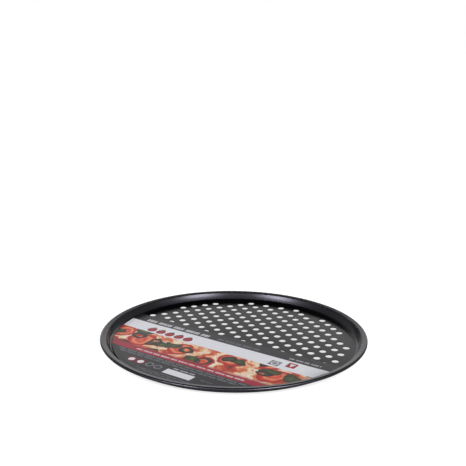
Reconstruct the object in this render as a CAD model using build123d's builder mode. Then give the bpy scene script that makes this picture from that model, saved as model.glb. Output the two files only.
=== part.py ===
"""Perforated pizza pan with its printed shop card.

Millimetres, +Z up. The origin is the middle of the underside that the pan stands on.
The rows of vents run along X and Y, and the card lies across them as it was put in.
"""
import os
from math import cos, hypot, radians, sin, sqrt

from build123d import *

os.makedirs("parts", exist_ok=True)

# Driving dimensions of the pan
pan_diameter = 331.0
pan_height = 11.0
sheet = 0.5
foot_radius = 4.5
brim_radius = 1.5
brim_width = 4.3
bead_diameter = 3.8

# Slopes of the pan's side, in degrees above level: where the foot's bend ends, at the top of
# the wall and along the brim
foot_slope = 55.0
wall_top_slope = 70.0
brim_slope = 8.0

# The bead runs on from the brim and rolls under by this angle, past straight down
bead_roll_angle = 300.0
right_angle = 90.0

# Driving dimensions of the vents
vent_diameter = 8.6
vent_pitch = 16.0
vent_border = 5.4

# Driving dimensions of the card, and how it lies in the pan
card_thickness = 0.4
card_edge_gap = 0.2
card_past_centre = 1.5
card_aside = 1.2
card_angle = -55.7

# Driving dimensions of the glue dots, and their places as shares of the card's radius
glue_dot_diameter = 10.0
glue_dot_thickness = 0.4
glue_dot_shares = ((0.02, -0.15), (-0.70, -0.42), (0.70, -0.47), (-0.02, -0.76))


def bend_rise(radius, low_slope, high_slope):
    """Height gained along an arc that runs between two slopes."""
    return radius * (cos(radians(low_slope)) - cos(radians(high_slope)))


def bend_run(radius, low_slope, high_slope):
    """Distance outwards along an arc that runs between two slopes."""
    return radius * (sin(radians(high_slope)) - sin(radians(low_slope)))


# The upper face of the side is a chain: foot bend, hollow wall that steepens as it rises, brim
# bend, brim and bead. The wall takes the height that the others leave, and the floor the width.
bead_radius = bead_diameter / 2
wall_rise = (
    pan_height
    - sheet
    - bend_rise(foot_radius, 0, foot_slope)
    - bend_rise(brim_radius, brim_slope, wall_top_slope)
    - brim_width * sin(radians(brim_slope))
    - bend_rise(bead_radius, 0, brim_slope)
)
wall_radius = wall_rise / (cos(radians(foot_slope)) - cos(radians(wall_top_slope)))
floor_radius = (
    pan_diameter / 2
    - bend_run(bead_radius, -right_angle, brim_slope)
    - brim_width * cos(radians(brim_slope))
    - bend_run(brim_radius, brim_slope, wall_top_slope)
    - bend_run(wall_radius, foot_slope, wall_top_slope)
    - bend_run(foot_radius, 0, foot_slope)
)

# The vents sit in the middles of square cells, so the pan's centre is solid metal. They fill
# the floor up to a border of solid metal along the foot of the wall.
vent_reach = floor_radius - vent_border - vent_diameter / 2
vents_across = 2 * round(vent_reach / vent_pitch)
vent_grid = GridLocations(vent_pitch, vent_pitch, vents_across, vents_across)
vent_places = [
    place
    for place in vent_grid.locations
    if hypot(place.position.X, place.position.Y) < vent_reach
]


def sheet_face(depth):
    """One face of the bent sheet, a depth below its upper face, from the middle to the rolled edge."""
    floor = Line((0, sheet - depth), (floor_radius, sheet - depth))
    foot = JernArc(floor @ 1, floor % 1, foot_radius + depth, foot_slope)
    wall = JernArc(foot @ 1, foot % 1, wall_radius + depth, wall_top_slope - foot_slope)
    brim_bend = JernArc(wall @ 1, wall % 1, brim_radius - depth, brim_slope - wall_top_slope)
    brim = PolarLine(brim_bend @ 1, brim_width, direction=brim_bend % 1)
    bead = JernArc(brim @ 1, brim % 1, bead_radius - depth, -bead_roll_angle)
    return floor @ 0, bead @ 1


# Pan: one pressed and perforated steel disc, its edge rolled outwards and under
with BuildPart() as pan:
    with BuildSketch(Plane.XZ):
        with BuildLine():
            upper_middle, upper_edge = sheet_face(0)
            lower_middle, lower_edge = sheet_face(sheet)
            Line(upper_middle, lower_middle)
            Line(upper_edge, lower_edge)
        make_face()
    revolve(axis=Axis.Z)
    with Locations(*vent_places):
        Hole(radius=vent_diameter / 2)

# Card on its glue dots: it reaches out over the foot's bend, to where the bend has risen nearly
# as high as the card's underside, at the side towards which the card lies
bend_reach = sqrt(glue_dot_thickness * (2 * foot_radius - glue_dot_thickness))
card_radius = floor_radius + bend_reach - card_aside - card_edge_gap

# The card's own plane lies on top of the glue dots, with X along the card's straight edge
card_directions = Plane.XY.rotated((0, 0, card_angle))
card_origin = card_directions.from_local_coords((-card_aside, card_past_centre))
card_plane = Plane(card_origin, x_dir=card_directions.x_dir).offset(sheet + glue_dot_thickness)

# Card: a die-cut half disc of coated board
with BuildPart() as card:
    with BuildSketch(card_plane):
        with BuildLine():
            straight_edge = Line((-card_radius, 0), (card_radius, 0))
            RadiusArc(straight_edge @ 1, straight_edge @ 0, card_radius)
        make_face()
    extrude(amount=card_thickness)


def nearest_metal(place):
    """The middle of the solid metal between four vents that is closest to a place."""
    return (vent_pitch * round(place.X / vent_pitch), vent_pitch * round(place.Y / vent_pitch))


# Glue dots: soft tacky discs between the pan's floor and the card, clear of the vents
glue_dot_places = [
    nearest_metal(card_plane.from_local_coords((card_radius * x_share, card_radius * y_share)))
    for x_share, y_share in glue_dot_shares
]
with BuildPart() as glue_dots:
    with BuildSketch(Plane.XY.offset(sheet)):
        with Locations(*glue_dot_places):
            Circle(glue_dot_diameter / 2)
    extrude(amount=glue_dot_thickness)

# One file for each piece, named as a person would name it
for name, piece in {"pan": pan, "card": card, "glue_dots": glue_dots}.items():
    piece.part.label = name
    export_step(piece.part, f"parts/{name}.step")
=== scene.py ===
"""Perforated pizza pan with its printed card: the looks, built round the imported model."""
from math import cos, hypot, pi, radians, sin

import bmesh
import bpy
from mathutils import Matrix, Vector


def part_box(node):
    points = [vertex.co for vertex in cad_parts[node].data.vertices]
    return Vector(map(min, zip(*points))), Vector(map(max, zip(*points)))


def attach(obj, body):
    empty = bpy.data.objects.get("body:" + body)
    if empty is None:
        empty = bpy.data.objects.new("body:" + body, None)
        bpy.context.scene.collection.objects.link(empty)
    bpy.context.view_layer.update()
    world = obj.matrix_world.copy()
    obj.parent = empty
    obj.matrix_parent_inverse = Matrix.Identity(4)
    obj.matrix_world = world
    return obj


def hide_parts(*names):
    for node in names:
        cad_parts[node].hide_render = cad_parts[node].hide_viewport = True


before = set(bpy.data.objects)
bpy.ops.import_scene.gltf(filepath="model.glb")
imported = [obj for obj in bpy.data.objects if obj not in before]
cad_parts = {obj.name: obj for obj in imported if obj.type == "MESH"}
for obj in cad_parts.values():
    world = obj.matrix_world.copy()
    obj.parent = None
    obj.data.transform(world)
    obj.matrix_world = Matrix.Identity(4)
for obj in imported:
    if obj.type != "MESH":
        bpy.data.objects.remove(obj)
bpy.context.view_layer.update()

# Pan
# One disc of steel sheet, perforated and pressed, with its edge rolled outwards and under.
# It was sprayed with a black non-stick coating and baked: satin, nearly black, with a faint
# orange peel and sparse flecks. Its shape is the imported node's own.


def linear(hex_colour):
    """An sRGB hex colour as the linear RGBA that the shaders take."""
    shares = [int(hex_colour[i:i + 2], 16) / 255 for i in (1, 3, 5)]
    return [s / 12.92 if s <= 0.04045 else ((s + 0.055) / 1.055) ** 2.4 for s in shares] + [1.0]


def add_node(tree, kind, inputs=None, **settings):
    """Adds a node, sets its properties, and fills its inputs with values or links."""
    node = tree.nodes.new(kind)
    for name, value in settings.items():
        setattr(node, name, value)
    for name, value in (inputs or {}).items():
        if isinstance(value, bpy.types.NodeSocket):
            tree.links.new(value, node.inputs[name])
        else:
            node.inputs[name].default_value = value
    return node


def new_material(name, **shader_inputs):
    """A material with one Principled shader, and its node tree and shader."""
    material = bpy.data.materials.new(name)
    material.use_nodes = True
    shader = material.node_tree.nodes["Principled BSDF"]
    for key, value in shader_inputs.items():
        shader.inputs[key.replace("_", " ")].default_value = value
    return material, material.node_tree, shader


MM = 0.001
coating_colour = "#060607"
fleck_colour = "#17171A"
vent_pitch = 16.0 * MM
vent_radius = 4.3 * MM
vent_reach = 140.9 * MM
lip_width = 0.7 * MM
lip_depth = 0.12 * MM
peel_width = 0.8 * MM
peel_depth = 0.02 * MM
fleck_spacing = 1.2 * MM
cloud_width = 30 * MM
# Its shine varies over the sheet, and the level given here is one value for the whole of it.
# The level given here is for an export that keeps only one.
coating, tree, shader = new_material(
    "baked_nonstick_coating", IOR=1.52, Specular_IOR_Level=0.25, Specular_Tint=linear("#F0ECFF"),
)
where = add_node(tree, "ShaderNodeTexCoord").outputs["Object"]
# Orange peel is about 0.8 mm across and a few microns deep
peel = add_node(tree, "ShaderNodeTexNoise", {"Vector": where, "Scale": 1 / peel_width, "Detail": 2.0})
peel_bump = add_node(
    tree, "ShaderNodeBump",
    {"Height": peel.outputs["Fac"], "Strength": 0.25, "Distance": peel_depth},
)
# The punch draws the sheet down a little round each vent, in the middle of its square cell
in_cells = add_node(
    tree, "ShaderNodeVectorMath", {0: where, 1: (1 / vent_pitch, 1 / vent_pitch, 0)}, operation="MULTIPLY",
).outputs["Vector"]
cell = add_node(tree, "ShaderNodeVectorMath", {0: in_cells}, operation="FLOOR")
cell_middle = add_node(
    tree, "ShaderNodeVectorMath", {0: cell.outputs["Vector"], 1: (0.5, 0.5, 0)}, operation="ADD",
).outputs["Vector"]
from_vent = add_node(tree, "ShaderNodeVectorMath", {0: in_cells, 1: cell_middle}, operation="DISTANCE")
from_axis = add_node(tree, "ShaderNodeVectorMath", {0: cell_middle}, operation="LENGTH")
has_vent = add_node(
    tree, "ShaderNodeMath", {0: from_axis.outputs["Value"], 1: vent_reach / vent_pitch},
    operation="LESS_THAN",
)
lip = add_node(
    tree, "ShaderNodeMapRange",
    {
        "Value": from_vent.outputs["Value"],
        "From Min": vent_radius / vent_pitch, "From Max": (vent_radius + lip_width) / vent_pitch,
        "To Min": has_vent.outputs["Value"], "To Max": 0.0,
    },
    interpolation_type="SMOOTHSTEP",
)
lip_bump = add_node(
    tree, "ShaderNodeBump",
    {"Height": lip.outputs["Result"], "Distance": lip_depth, "Normal": peel_bump.outputs["Normal"]},
    invert=True,
)
tree.links.new(lip_bump.outputs["Normal"], shader.inputs["Normal"])
# Flecks are under 0.3 mm across and are drawn 1.2 mm apart
flecks = add_node(tree, "ShaderNodeTexVoronoi", {"Vector": where, "Scale": 1 / fleck_spacing})
fleck_edge = add_node(
    tree, "ShaderNodeMapRange",
    {"Value": flecks.outputs["Distance"], "From Min": 0.12, "From Max": 0.2, "To Min": 0.6, "To Max": 0.0},
)
fleck_mix = add_node(
    tree, "ShaderNodeMix",
    {"Factor": fleck_edge.outputs["Result"], "A": linear(coating_colour), "B": linear(fleck_colour)},
    data_type="RGBA",
)
tree.links.new(fleck_mix.outputs["Result"], shader.inputs["Base Color"])
# The coating is thin and dull on the floor, and shinier but less smooth up the side, where the
# sheet was drawn. It pools a little on the bead and shines most there.
floor_top, side_foot = 0.8 * MM, 3.0 * MM
bead_from, bead_to = 163.8 * MM, 164.6 * MM
floor_shine, side_shine, bead_shine = 0.12, 0.62, 1.0
height = add_node(tree, "ShaderNodeSeparateXYZ", {"Vector": where}).outputs["Z"]
sheet_shine = add_node(
    tree, "ShaderNodeMapRange",
    {
        "Value": height, "From Min": floor_top, "From Max": side_foot,
        "To Min": floor_shine, "To Max": side_shine,
    },
    interpolation_type="SMOOTHSTEP",
)
level_place = add_node(tree, "ShaderNodeVectorMath", {0: where, 1: (1, 1, 0)}, operation="MULTIPLY")
off_axis = add_node(
    tree, "ShaderNodeVectorMath", {0: level_place.outputs["Vector"]}, operation="LENGTH",
)
added_shine = add_node(
    tree, "ShaderNodeMapRange",
    {
        "Value": off_axis.outputs["Value"], "From Min": bead_from, "From Max": bead_to,
        "To Min": 0.0, "To Max": bead_shine - side_shine,
    },
    interpolation_type="SMOOTHSTEP",
)
shine = add_node(
    tree, "ShaderNodeMath", {0: sheet_shine.outputs["Result"], 1: added_shine.outputs["Result"]},
)
tree.links.new(shine.outputs["Value"], shader.inputs["Specular IOR Level"])
# Its smoothness also varies in clouds 30 mm across
floor_roughness, side_roughness, cloud_roughness = 0.17, 0.24, 0.06
sheet_roughness = add_node(
    tree, "ShaderNodeMapRange",
    {
        "Value": height, "From Min": floor_top, "From Max": side_foot,
        "To Min": floor_roughness, "To Max": side_roughness,
    },
    interpolation_type="SMOOTHSTEP",
)
clouds = add_node(tree, "ShaderNodeTexNoise", {"Vector": where, "Scale": 1 / cloud_width, "Detail": 3.0})
satin = add_node(
    tree, "ShaderNodeMath",
    {0: clouds.outputs["Fac"], 1: cloud_roughness, 2: sheet_roughness.outputs["Result"]},
    operation="MULTIPLY_ADD",
)
tree.links.new(satin.outputs["Value"], shader.inputs["Roughness"])
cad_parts["pan"].data.materials[0] = coating

# Glue dots
# Soft clear gum pressed between the pan and the card. Glossy, slightly yellow, and seen only
# from below through the vents or when the card is lifted.
dimple_width = 2.5 * MM
dimple_depth = 0.1 * MM
gum, tree, shader = new_material("clear_tacky_gum", Roughness=0.18, IOR=1.48, Transmission_Weight=0.7)
where = add_node(tree, "ShaderNodeTexCoord").outputs["Object"]
dimples = add_node(tree, "ShaderNodeTexNoise", {"Vector": where, "Scale": 1 / dimple_width})
bump = add_node(tree, "ShaderNodeBump", {"Height": dimples.outputs["Fac"], "Distance": dimple_depth})
tree.links.new(bump.outputs["Normal"], shader.inputs["Normal"])
milky = add_node(
    tree, "ShaderNodeMix",
    {"Factor": dimples.outputs["Fac"], "A": linear("#E9E4D2"), "B": linear("#D8D0B8")},
    data_type="RGBA",
)
tree.links.new(milky.outputs["Result"], shader.inputs["Base Color"])
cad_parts["glue_dots"].data.materials[0] = gum

# Card
# Half disc of coated board, 0.4 mm thick, die-cut and printed on its upper face. It lies on
# the glue dots, and its round edge has curled up a little.
card_low, card_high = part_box("card")
card_thickness = card_high.z - card_low.z
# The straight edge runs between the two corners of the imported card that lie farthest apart,
# and it is taken in the direction that has the card down from it
card_points = [v.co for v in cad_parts["card"].data.vertices]
card_left, card_right = max(
    ((a, b) for a in card_points for b in card_points if a.z == b.z == card_points[0].z),
    key=lambda pair: (pair[0] - pair[1]).length,
)
card_middle = (card_left + card_right) / 2
card_radius = (card_left - card_right).length / 2
card_centroid = sum(card_points, Vector()) / len(card_points)
if (card_right - card_left).cross(Vector((0, 0, 1))).dot(card_centroid - card_middle) < 0:
    card_left, card_right = card_right, card_left
card_across = (card_right - card_left).normalized()
card_down = card_across.cross(Vector((0, 0, 1)))
curl_height = 0.35 * MM
curl_share = 0.35


def curl(u, v):
    """Height that the card has curled up at a place on it."""
    outward = max(0, hypot(u, v) / card_radius - 1 + curl_share) / curl_share
    return curl_height * outward ** 2


def on_card(u, v, above=0.0):
    """A place on the card's upper face: u along its straight edge, v down from it."""
    place = card_middle + u * card_across + v * card_down
    return Vector((place.x, place.y, card_high.z + curl(u, v) + above))


# The upper face is laid out in rings and spokes about the middle of the straight edge, and the
# board's thickness goes down from it
rings, spokes = 40, 120
mesh = bmesh.new()
print_map = mesh.loops.layers.uv.new("print")
grid = []
for ring in range(rings + 1):
    reach = card_radius * ring / rings
    grid.append([
        (reach * cos(pi * spoke / spokes), reach * sin(pi * spoke / spokes))
        for spoke in range(spokes + 1)
    ])
points = {}
for row in grid:
    for place in row:
        if place not in points:
            points[place] = mesh.verts.new(on_card(*place))
for ring in range(rings):
    for spoke in range(spokes):
        inner, outer = grid[ring], grid[ring + 1]
        corners = (inner[spoke], outer[spoke], outer[spoke + 1], inner[spoke + 1])
        # At the middle two of the four fall together, which leaves a triangle
        corners = list(dict.fromkeys(corners))
        face = mesh.faces.new([points[place] for place in corners])
        face.smooth = True
        for loop, place in zip(face.loops, corners):
            loop[print_map].uv = place
bmesh.ops.recalc_face_normals(mesh, faces=mesh.faces)
if sum(face.normal.z for face in mesh.faces) < 0:
    bmesh.ops.reverse_faces(mesh, faces=mesh.faces)
# The die leaves a sharp edge all round
for edge in mesh.edges:
    edge.smooth = not edge.is_boundary
card_mesh = bpy.data.meshes.new("printed_card")
mesh.to_mesh(card_mesh)
mesh.free()
card = bpy.data.objects.new("printed_card", card_mesh)
bpy.context.scene.collection.objects.link(card)
board = card.modifiers.new("board", "SOLIDIFY")
board.thickness = card_thickness
board.offset = -1
board.material_offset = 1
board.material_offset_rim = 1

# Offset-printed inks under a satin laminate, which lets the colours through with a soft sheen.
# The print map gives u along the straight edge and v down from it, in metres. From that edge
# down: charcoal, a pale band, a strip of pizza topping, a crimson band and charcoal again.


def fill_ramp(ramp, stops):
    """Sets a colour ramp's stops: each a position, a hex colour and how much it covers."""
    for position, colour, share in stops[2:]:
        ramp.elements.new(position)
    for element, (position, colour, share) in zip(ramp.elements, stops):
        element.position = position
        element.color = linear(colour)[:3] + [share]


charcoal = "#28252A"
pale = "#F0F1F6"
crimson = "#AC1A38"
pale_top = 19.5 * MM
strip_top = 46 * MM
strip_bottom = 89 * MM
crimson_bottom = 101.5 * MM
sharp_edge = 0.1 * MM
faded_edge = 3 * MM
ink, tree, shader = new_material(
    "satin_laminated_print", Roughness=0.28, IOR=1.5, Specular_IOR_Level=0.16,
)
place = add_node(tree, "ShaderNodeUVMap", uv_map="print").outputs["UV"]
metres_down = add_node(tree, "ShaderNodeSeparateXYZ", {"Vector": place}).outputs["Y"]
down = add_node(
    tree, "ShaderNodeMath", {0: metres_down, 1: card_radius}, operation="DIVIDE",
).outputs["Value"]
bands = add_node(tree, "ShaderNodeValToRGB", {"Fac": down})
bands.color_ramp.interpolation = "CONSTANT"
fill_ramp(bands.color_ramp, (
    (0, charcoal, 1),
    (pale_top / card_radius, pale, 1),
    (strip_top / card_radius, crimson, 1),
    (crimson_bottom / card_radius, charcoal, 1),
))
in_strip = add_node(tree, "ShaderNodeValToRGB", {"Fac": down})
fill_ramp(in_strip.color_ramp, (
    (0, "#000000", 0),
    ((strip_top - sharp_edge) / card_radius, "#000000", 0),
    ((strip_top + sharp_edge) / card_radius, "#000000", 1),
    ((strip_bottom - faded_edge) / card_radius, "#000000", 1),
    ((strip_bottom + faded_edge) / card_radius, "#000000", 0),
))
# Everything in the strip is bent by soft noise, so that no topping is a plain shape
bend_width = 26 * MM
bend_reach = 24 * MM
wander = add_node(tree, "ShaderNodeTexNoise", {"Vector": place, "Scale": 1 / bend_width, "Detail": 2.5})
bent = add_node(
    tree, "ShaderNodeVectorMath",
    {0: wander.outputs["Color"], 1: (bend_reach, bend_reach, 0), 2: place}, operation="MULTIPLY_ADD",
).outputs["Vector"]
# Sauce and melted cheese, in patches about 24 mm across
melt_width = 24 * MM
melt = add_node(
    tree, "ShaderNodeTexNoise",
    {"Vector": bent, "Scale": 1 / melt_width, "Detail": 4.0, "Roughness": 0.6},
)
topping = add_node(tree, "ShaderNodeValToRGB", {"Fac": melt.outputs["Fac"]})
fill_ramp(topping.color_ramp, (
    (0.30, "#6A2C1C", 1), (0.40, "#C63A28", 1), (0.46, "#E4744A", 1), (0.52, "#F6CE9E", 1),
    (0.58, "#FFF3DE", 1), (0.66, "#F2AE96", 1), (0.75, "#94563A", 1),
))
picture = topping.outputs["Color"]
# Each topping lies in square cells of its own spacing, moved and squashed in its own way. Its
# ramp runs over the distance from the cell's middle and tells where it covers what is below.
toppings_turn = 0.6
toppings = (
    # Tomato slices, about 36 mm across
    (52 * MM, (0.021, 0.030, 0), 1.0, (
        (0.0, "#F06C52", 1), (0.11, "#DC3C2A", 1), (0.19, "#F69C66", 1), (0.25, "#D42A22", 1),
        (0.33, "#B41818", 1), (0.35, "#B41818", 0),
    )),
    # Basil leaves, about 14 mm by 28 mm
    (52 * MM, (0.007, 0.021, 0), 1.9, (
        (0.0, "#77824A", 1), (0.04, "#4C5A2C", 1), (0.20, "#333F20", 1), (0.25, "#272E1A", 1),
        (0.27, "#272E1A", 0),
    )),
    # Rings of black olive, about 18 mm across
    (43 * MM, (0.019, 0.011, 0), 1.0, (
        (0.08, "#4A4436", 0), (0.10, "#4A4436", 1), (0.15, "#26221E", 1), (0.20, "#1C1918", 1),
        (0.22, "#1C1918", 0),
    )),
)
for spacing, shift, squash, stops in toppings:
    laid = add_node(
        tree, "ShaderNodeMapping",
        {"Vector": bent, "Location": shift, "Rotation": (0, 0, toppings_turn), "Scale": (1, squash, 1)},
    )
    cells = add_node(
        tree, "ShaderNodeTexVoronoi",
        {"Vector": laid.outputs["Vector"], "Scale": 1 / spacing, "Randomness": 0.75},
        voronoi_dimensions="2D",
    )
    slices = add_node(tree, "ShaderNodeValToRGB", {"Fac": cells.outputs["Distance"]})
    fill_ramp(slices.color_ramp, stops)
    picture = add_node(
        tree, "ShaderNodeMix",
        {"Factor": slices.outputs["Alpha"], "A": picture, "B": slices.outputs["Color"]}, data_type="RGBA",
    ).outputs["Result"]
# Browned specks of herbs and crust, 2 to 3 mm across
speck_width = 2.6 * MM
specks = add_node(tree, "ShaderNodeTexNoise", {"Vector": place, "Scale": 1 / speck_width, "Detail": 2.0})
browned = add_node(
    tree, "ShaderNodeMapRange",
    {"Value": specks.outputs["Fac"], "From Min": 0.60, "From Max": 0.72, "To Min": 0.0, "To Max": 0.4},
)
picture = add_node(
    tree, "ShaderNodeMix",
    {"Factor": browned.outputs["Result"], "A": picture, "B": linear("#4A2A1A")}, data_type="RGBA",
).outputs["Result"]
printed = add_node(
    tree, "ShaderNodeMix",
    {"Factor": in_strip.outputs["Alpha"], "A": bands.outputs["Color"], "B": picture}, data_type="RGBA",
)
tree.links.new(printed.outputs["Result"], shader.inputs["Base Color"])
# The board's fibres show through the laminate as a faint grain, 0.6 mm across
fibre_width = 0.6 * MM
fibre_depth = 0.01 * MM
fibres = add_node(tree, "ShaderNodeTexNoise", {"Vector": place, "Scale": 1 / fibre_width, "Detail": 2.0})
bump = add_node(
    tree, "ShaderNodeBump", {"Height": fibres.outputs["Fac"], "Strength": 0.3, "Distance": fibre_depth},
)
tree.links.new(bump.outputs["Normal"], shader.inputs["Normal"])

# Grey board: recycled pulp, pressed and cut, which gives a matt back and edge with clumps of
# fibres about 0.9 mm across
clump_width = 0.9 * MM
pulp, tree, shader = new_material("uncoated_grey_board", Roughness=0.8)
where = add_node(tree, "ShaderNodeTexCoord").outputs["Object"]
fibres = add_node(tree, "ShaderNodeTexNoise", {"Vector": where, "Scale": 1 / clump_width, "Detail": 4.0})
grey = add_node(
    tree, "ShaderNodeMix",
    {"Factor": fibres.outputs["Fac"], "A": linear("#C4C0B6"), "B": linear("#A39E92")}, data_type="RGBA",
)
tree.links.new(grey.outputs["Result"], shader.inputs["Base Color"])
card_mesh.materials.append(ink)
card_mesh.materials.append(pulp)
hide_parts("card")
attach(card, "card")

# Printed marks
# Opaque inks over the card's colours: rows of plain strokes where such a card has its lines of
# print, a row of tomatoes, a few pictograms and a blank label. None of it is lettering. Places
# and sizes are in millimetres.
film_thickness = 0.03 * MM
disc_sides = 28


def bar(u, v, width, height):
    """A box by its middle and its sides."""
    return [[(u + x * width / 2, v + y * height / 2) for x, y in ((-1, -1), (1, -1), (1, 1), (-1, 1))]]


def disc(u, v, diameter):
    """A disc by its middle and its diameter."""
    turns = [2 * pi * side / disc_sides for side in range(disc_sides)]
    return [[(u + diameter / 2 * cos(turn), v + diameter / 2 * sin(turn)) for turn in turns]]


def ring_band(u, v, diameter, width):
    """A ring by its middle, its outer diameter and its width."""
    outer = disc(u, v, diameter)[0]
    inner = disc(u, v, diameter - 2 * width)[0]
    return [
        [outer[i], outer[(i + 1) % disc_sides], inner[(i + 1) % disc_sides], inner[i]]
        for i in range(disc_sides)
    ]


def strokes(start, end, v, height, step, pattern):
    """A row of strokes: each is as wide as its share of a step, and a share of 0 leaves a gap."""
    row = []
    for count in range(int((end - start) / step)):
        share = pattern[count % len(pattern)]
        if share:
            row += bar(start + (count + 0.5) * step, v, share * step, height)
    return row


def print_film(name, colour, layer, shapes):
    """One ink, as a thin film that follows the card, in a layer on top of the ones below."""
    film_mesh = bmesh.new()
    for outline in shapes:
        places = [on_card(u * MM, v * MM, (layer - 0.5) * film_thickness) for u, v in outline]
        film_mesh.faces.new([film_mesh.verts.new(place) for place in places])
    bmesh.ops.remove_doubles(film_mesh, verts=film_mesh.verts, dist=0.001 * MM)
    for face in film_mesh.faces:
        if face.normal.z < 0:
            face.normal_flip()
    film_data = bpy.data.meshes.new(name)
    film_mesh.to_mesh(film_data)
    film_mesh.free()
    film = bpy.data.objects.new(name, film_data)
    bpy.context.scene.collection.objects.link(film)
    body = film.modifiers.new("film", "SOLIDIFY")
    body.thickness = film_thickness
    body.offset = -1
    material, tree, shader = new_material(
        f"{name}_under_laminate", Roughness=0.25, IOR=1.5, Specular_IOR_Level=0.16,
    )
    where = add_node(tree, "ShaderNodeTexCoord").outputs["Object"]
    # Ink lies a little unevenly over the board's fibres
    mottle = add_node(tree, "ShaderNodeTexNoise", {"Vector": where, "Scale": 1 / fibre_width})
    darker = [0.85 * part for part in linear(colour)[:3]] + [1.0]
    uneven = add_node(
        tree, "ShaderNodeMix",
        {"Factor": mottle.outputs["Fac"], "A": linear(colour), "B": darker}, data_type="RGBA",
    )
    tree.links.new(uneven.outputs["Result"], shader.inputs["Base Color"])
    film_data.materials.append(material)
    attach(film, "card")


heavy = (0.62, 0.5, 0.7, 0.45, 0.6, 0, 0.5, 0.7, 0.55, 0.62, 0.4, 0.66, 0.5, 0)
light = (0.5, 0.35, 0.55, 0.4, 0, 0.45, 0.5, 0.35, 0.5, 0.4, 0.55, 0)
tomatoes = (-102, -87.5, -73, -58.5, -44)
# Rows along the straight edge, in the crimson band and over the label; two discs; the label
print_film("white_ink", "#F8F8FB", 1, [
    *strokes(-130, -26, 13.5, 6.4, 3.2, heavy),
    *strokes(90, 133, 13.5, 3.0, 1.7, light),
    *strokes(-76, 84, 96.5, 2.9, 1.9, heavy),
    *strokes(-2, 31, 116.6, 2.4, 1.9, light),
    *disc(-59.3, 124, 11.7), *disc(-45.5, 124, 11.7),
    *bar(12.7, 126.5, 39, 12),
])
# A row along the straight edge, the small rows at the bottom, two rings and a plain square
print_film("grey_ink", "#8E9198", 1, [
    *strokes(-14, 48, 13.5, 4.6, 2.2, light),
    *strokes(-96, 92, 105.4, 2.8, 2.1, heavy), *strokes(-90, 84, 110.4, 2.8, 1.9, heavy),
    *strokes(-41, 39, 137.5, 1.8, 1.5, light), *strokes(-36, 34, 141.5, 1.8, 1.5, light),
    *strokes(42, 59, 124, 2.0, 1.6, light), *strokes(69, 78, 124, 2.0, 1.6, light),
    *ring_band(-31.8, 124, 10.5, 1.6), *ring_band(-19.3, 124, 10.5, 1.6),
    *bar(83.2, 35.5, 14, 13),
])
# The tomatoes, a plain square and the edges of the two discs
print_film("red_ink", "#A8202F", 2, [
    *[outline for u in tomatoes for outline in disc(u, 37.5, 12.6)],
    *bar(103.2, 30.5, 12, 13),
    *ring_band(-59.3, 124, 11.8, 1.7), *ring_band(-45.5, 124, 11.8, 1.7),
])
# A slice on the red square and a ring on the grey one
print_film("slice_ink", "#EEEFF2", 3, [
    [(99.4, 26.6), (107.0, 26.6), (103.2, 35.0)],
    *ring_band(83.2, 35.5, 9.5, 1.4),
])
# The tomatoes' stalks
print_film("green_ink", "#3E5A2A", 3, [
    *[outline for u in tomatoes for outline in bar(u, 31.4, 6.5, 1.6) + bar(u, 30.2, 1.4, 3.4)],
])

# Table
# A wide white sheet that the pan stands on. Seen straight it is white, and it keeps the pan's soft shadow.
# In reflections and bounced light it is grey with painted shade, darker outwards.
table_size = 30.0
bpy.ops.mesh.primitive_plane_add(size=table_size)
table = bpy.context.object
table.name = "table"
paper = bpy.data.materials.new("white_table")
paper.use_nodes = True
tree = paper.node_tree
tree.nodes.clear()
light_path = add_node(tree, "ShaderNodeLightPath")
# Seen straight, it is lit paper for a part and the rest is a glow that grows outwards. The glow holds
# painted shade: it is grey under the pan, where the vents show it, and a little below white round the pan.
# Both ramps run over the metres from the pan's middle.
where = add_node(tree, "ShaderNodeTexCoord").outputs["Object"]
from_pan = add_node(tree, "ShaderNodeVectorMath", {0: where}, operation="LENGTH").outputs["Value"]
glow_with_painted_shade = add_node(tree, "ShaderNodeValToRGB", {"Fac": from_pan})
fill_ramp(glow_with_painted_shade.color_ramp, (
    (0.150, "#C1C1C1", 1), (0.160, "#F8F8F8", 1), (0.300, "#FFFFFF", 1),
))
# In reflections and bounced light: grey paper, with painted shade that darkens it outwards
reflected_paper_painted_shade = add_node(tree, "ShaderNodeValToRGB", {"Fac": from_pan})
fill_ramp(reflected_paper_painted_shade.color_ramp, ((0.22, "#A0A0A0", 1), (0.50, "#6A6A6A", 1)))
matt = add_node(tree, "ShaderNodeBsdfDiffuse", {"Color": reflected_paper_painted_shade.outputs["Color"]})
seen_paper = add_node(tree, "ShaderNodeBsdfDiffuse", {"Color": linear("#9E9E9E")})
glow = add_node(tree, "ShaderNodeEmission", {"Color": glow_with_painted_shade.outputs["Color"]})
glowing = add_node(
    tree, "ShaderNodeAddShader", {0: seen_paper.outputs["BSDF"], 1: glow.outputs["Emission"]},
)
seen = add_node(
    tree, "ShaderNodeMixShader",
    {0: light_path.outputs["Is Camera Ray"], 1: matt.outputs["BSDF"], 2: glowing.outputs["Shader"]},
)
add_node(tree, "ShaderNodeOutputMaterial", {"Surface": seen.outputs["Shader"]})
table.data.materials.append(paper)

# Studio light
# Two soft boxes hang at the camera's side over a broad dim fill, a white backdrop stands behind
# the pan, and the ceiling is dark. The room is far away, so all of it is in the world.
camera_azimuth = radians(-20.82)
room = bpy.data.worlds.new("studio")
bpy.context.scene.world = room
room.use_nodes = True
tree = room.node_tree
tree.nodes.clear()
direction = add_node(tree, "ShaderNodeTexCoord").outputs["Generated"]
rise = add_node(tree, "ShaderNodeSeparateXYZ", {"Vector": direction}).outputs["Z"]
towards_camera = add_node(
    tree, "ShaderNodeVectorMath",
    {0: direction, 1: (sin(camera_azimuth), -cos(camera_azimuth), 0)}, operation="DOT_PRODUCT",
).outputs["Value"]
to_the_right = add_node(
    tree, "ShaderNodeVectorMath",
    {0: direction, 1: (cos(camera_azimuth), sin(camera_azimuth), 0)}, operation="DOT_PRODUCT",
).outputs["Value"]
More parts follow.
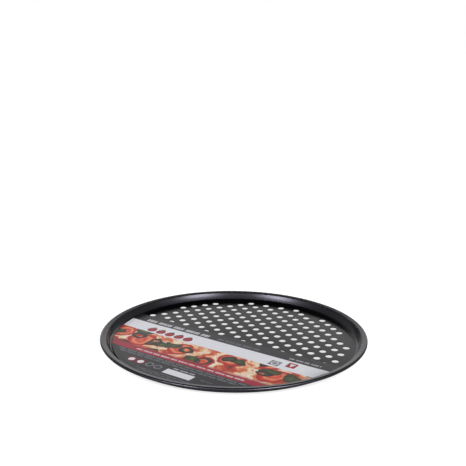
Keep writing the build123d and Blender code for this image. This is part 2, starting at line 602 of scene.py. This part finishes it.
# The ramps of the backdrop, the fill and the sides run over the sine of the elevation
backdrop = add_node(tree, "ShaderNodeValToRGB", {"Fac": rise})
backdrop.color_ramp.interpolation = "EASE"
fill_ramp(backdrop.color_ramp, (
    (0, "#808080", 1), (0.12, "#FFFFFF", 1), (0.30, "#FFFFFF", 1), (0.60, "#303030", 1),
    (0.90, "#202020", 1),
))
# The backdrop is lit from both sides, so it is brightest a little away from its middle
aside = add_node(tree, "ShaderNodeMath", {0: to_the_right}, operation="ABSOLUTE")
lit_aside = add_node(tree, "ShaderNodeValToRGB", {"Fac": aside.outputs["Value"]})
lit_aside.color_ramp.interpolation = "EASE"
fill_ramp(lit_aside.color_ramp, (
    (0, "#D6D6D6", 1), (0.22, "#FFFFFF", 1), (0.28, "#FAFAFA", 1), (0.42, "#B8B8B8", 1),
    (0.60, "#959595", 1),
))
backdrop_brightness = 1.5
shaded_backdrop = add_node(
    tree, "ShaderNodeVectorMath", {0: backdrop.outputs["Color"], 1: lit_aside.outputs["Color"]},
    operation="MULTIPLY",
)
lit_backdrop = add_node(
    tree, "ShaderNodeVectorMath",
    {"Vector": shaded_backdrop.outputs["Vector"], "Scale": backdrop_brightness}, operation="SCALE",
).outputs["Vector"]
fill = add_node(tree, "ShaderNodeValToRGB", {"Fac": rise})
fill_ramp(fill.color_ramp, (
    (0, "#A0A0A0", 1), (0.08, "#FFFFFF", 1), (0.32, "#F0F0F0", 1), (0.52, "#ECECEC", 1),
    (0.74, "#969696", 1), (0.90, "#242424", 1),
))
sides = add_node(tree, "ShaderNodeValToRGB", {"Fac": rise})
fill_ramp(sides.color_ramp, (
    (0, "#606060", 1), (0.06, "#8C8C8C", 1), (0.40, "#989898", 1), (0.80, "#202020", 1),
))
in_front = add_node(
    tree, "ShaderNodeMapRange", {"Value": towards_camera, "From Min": 0.0, "From Max": 0.5},
    interpolation_type="SMOOTHSTEP",
)
around = add_node(
    tree, "ShaderNodeMix",
    {"Factor": in_front.outputs["Result"], "A": sides.outputs["Color"], "B": fill.outputs["Color"]},
    data_type="RGBA",
).outputs["Result"]
in_backdrop = add_node(
    tree, "ShaderNodeMapRange", {"Value": towards_camera, "From Min": -0.62, "From Max": -0.88},
    interpolation_type="SMOOTHSTEP",
)
around = add_node(
    tree, "ShaderNodeMix",
    {"Factor": in_backdrop.outputs["Result"], "A": around, "B": lit_backdrop}, data_type="RGBA",
).outputs["Result"]
# Each soft box has its azimuth to the camera's right, its elevation, half its width, half its
# height and its brightness, which falls away softly over its scrim
azimuth = add_node(tree, "ShaderNodeMath", {0: to_the_right, 1: towards_camera}, operation="ARCTAN2")
elevation = add_node(tree, "ShaderNodeMath", {0: rise}, operation="ARCSINE")
bearing = add_node(
    tree, "ShaderNodeCombineXYZ", {"X": azimuth.outputs["Value"], "Y": elevation.outputs["Value"]},
).outputs["Vector"]
for middle, half_size, brightness in (
    ((radians(34), radians(24)), (radians(13.5), radians(9.5)), 16.0),
    ((radians(-43.5), radians(28)), (radians(13.5), radians(5.5)), 19.0),
):
    from_middle = add_node(
        tree, "ShaderNodeVectorMath", {0: bearing, 1: (*middle, 0)}, operation="SUBTRACT",
    )
    in_halves = add_node(
        tree, "ShaderNodeVectorMath", {0: from_middle.outputs["Vector"], 1: (*half_size, 1)},
        operation="DIVIDE",
    )
    distance = add_node(
        tree, "ShaderNodeVectorMath", {0: in_halves.outputs["Vector"]}, operation="LENGTH",
    )
    scrim = add_node(
        tree, "ShaderNodeMapRange",
        {
            "Value": distance.outputs["Value"], "From Min": 0.3, "From Max": 1.7,
            "To Min": brightness, "To Max": 0.0,
        },
        interpolation_type="SMOOTHSTEP",
    )
    around = add_node(
        tree, "ShaderNodeVectorMath", {0: linear("#FDFCFF")[:3], 1: scrim.outputs["Result"], 2: around},
        operation="MULTIPLY_ADD",
    ).outputs["Vector"]
light_path = add_node(tree, "ShaderNodeLightPath")
shown = add_node(
    tree, "ShaderNodeMix",
    {"Factor": light_path.outputs["Is Camera Ray"], "A": around, "B": linear("#FFFFFF")},
    data_type="RGBA",
)
background = add_node(tree, "ShaderNodeBackground", {"Color": shown.outputs["Result"], "Strength": 1.0})
add_node(tree, "ShaderNodeOutputWorld", {"Surface": background.outputs["Background"]})

# Camera
# It stands 0.93 m from the pan's axis and 0.37 m up, looks a little over the pan and is rolled
# by half a degree.
camera_lens = 60.88
camera_pitch = radians(13.945)
camera_roll = radians(0.524)
camera_place = Vector((-0.33182, -0.86645, 0.36859))
camera = bpy.data.objects.new("camera", bpy.data.cameras.new("camera"))
bpy.context.scene.collection.objects.link(camera)
camera.data.lens = camera_lens
camera.matrix_world = (
    Matrix.Translation(camera_place)
    @ Matrix.Rotation(camera_azimuth, 4, "Z")
    @ Matrix.Rotation(pi / 2 - camera_pitch, 4, "X")
    @ Matrix.Rotation(camera_roll, 4, "Z")
)
bpy.context.scene.camera = camera
bpy.context.scene.view_settings.view_transform = "Standard"
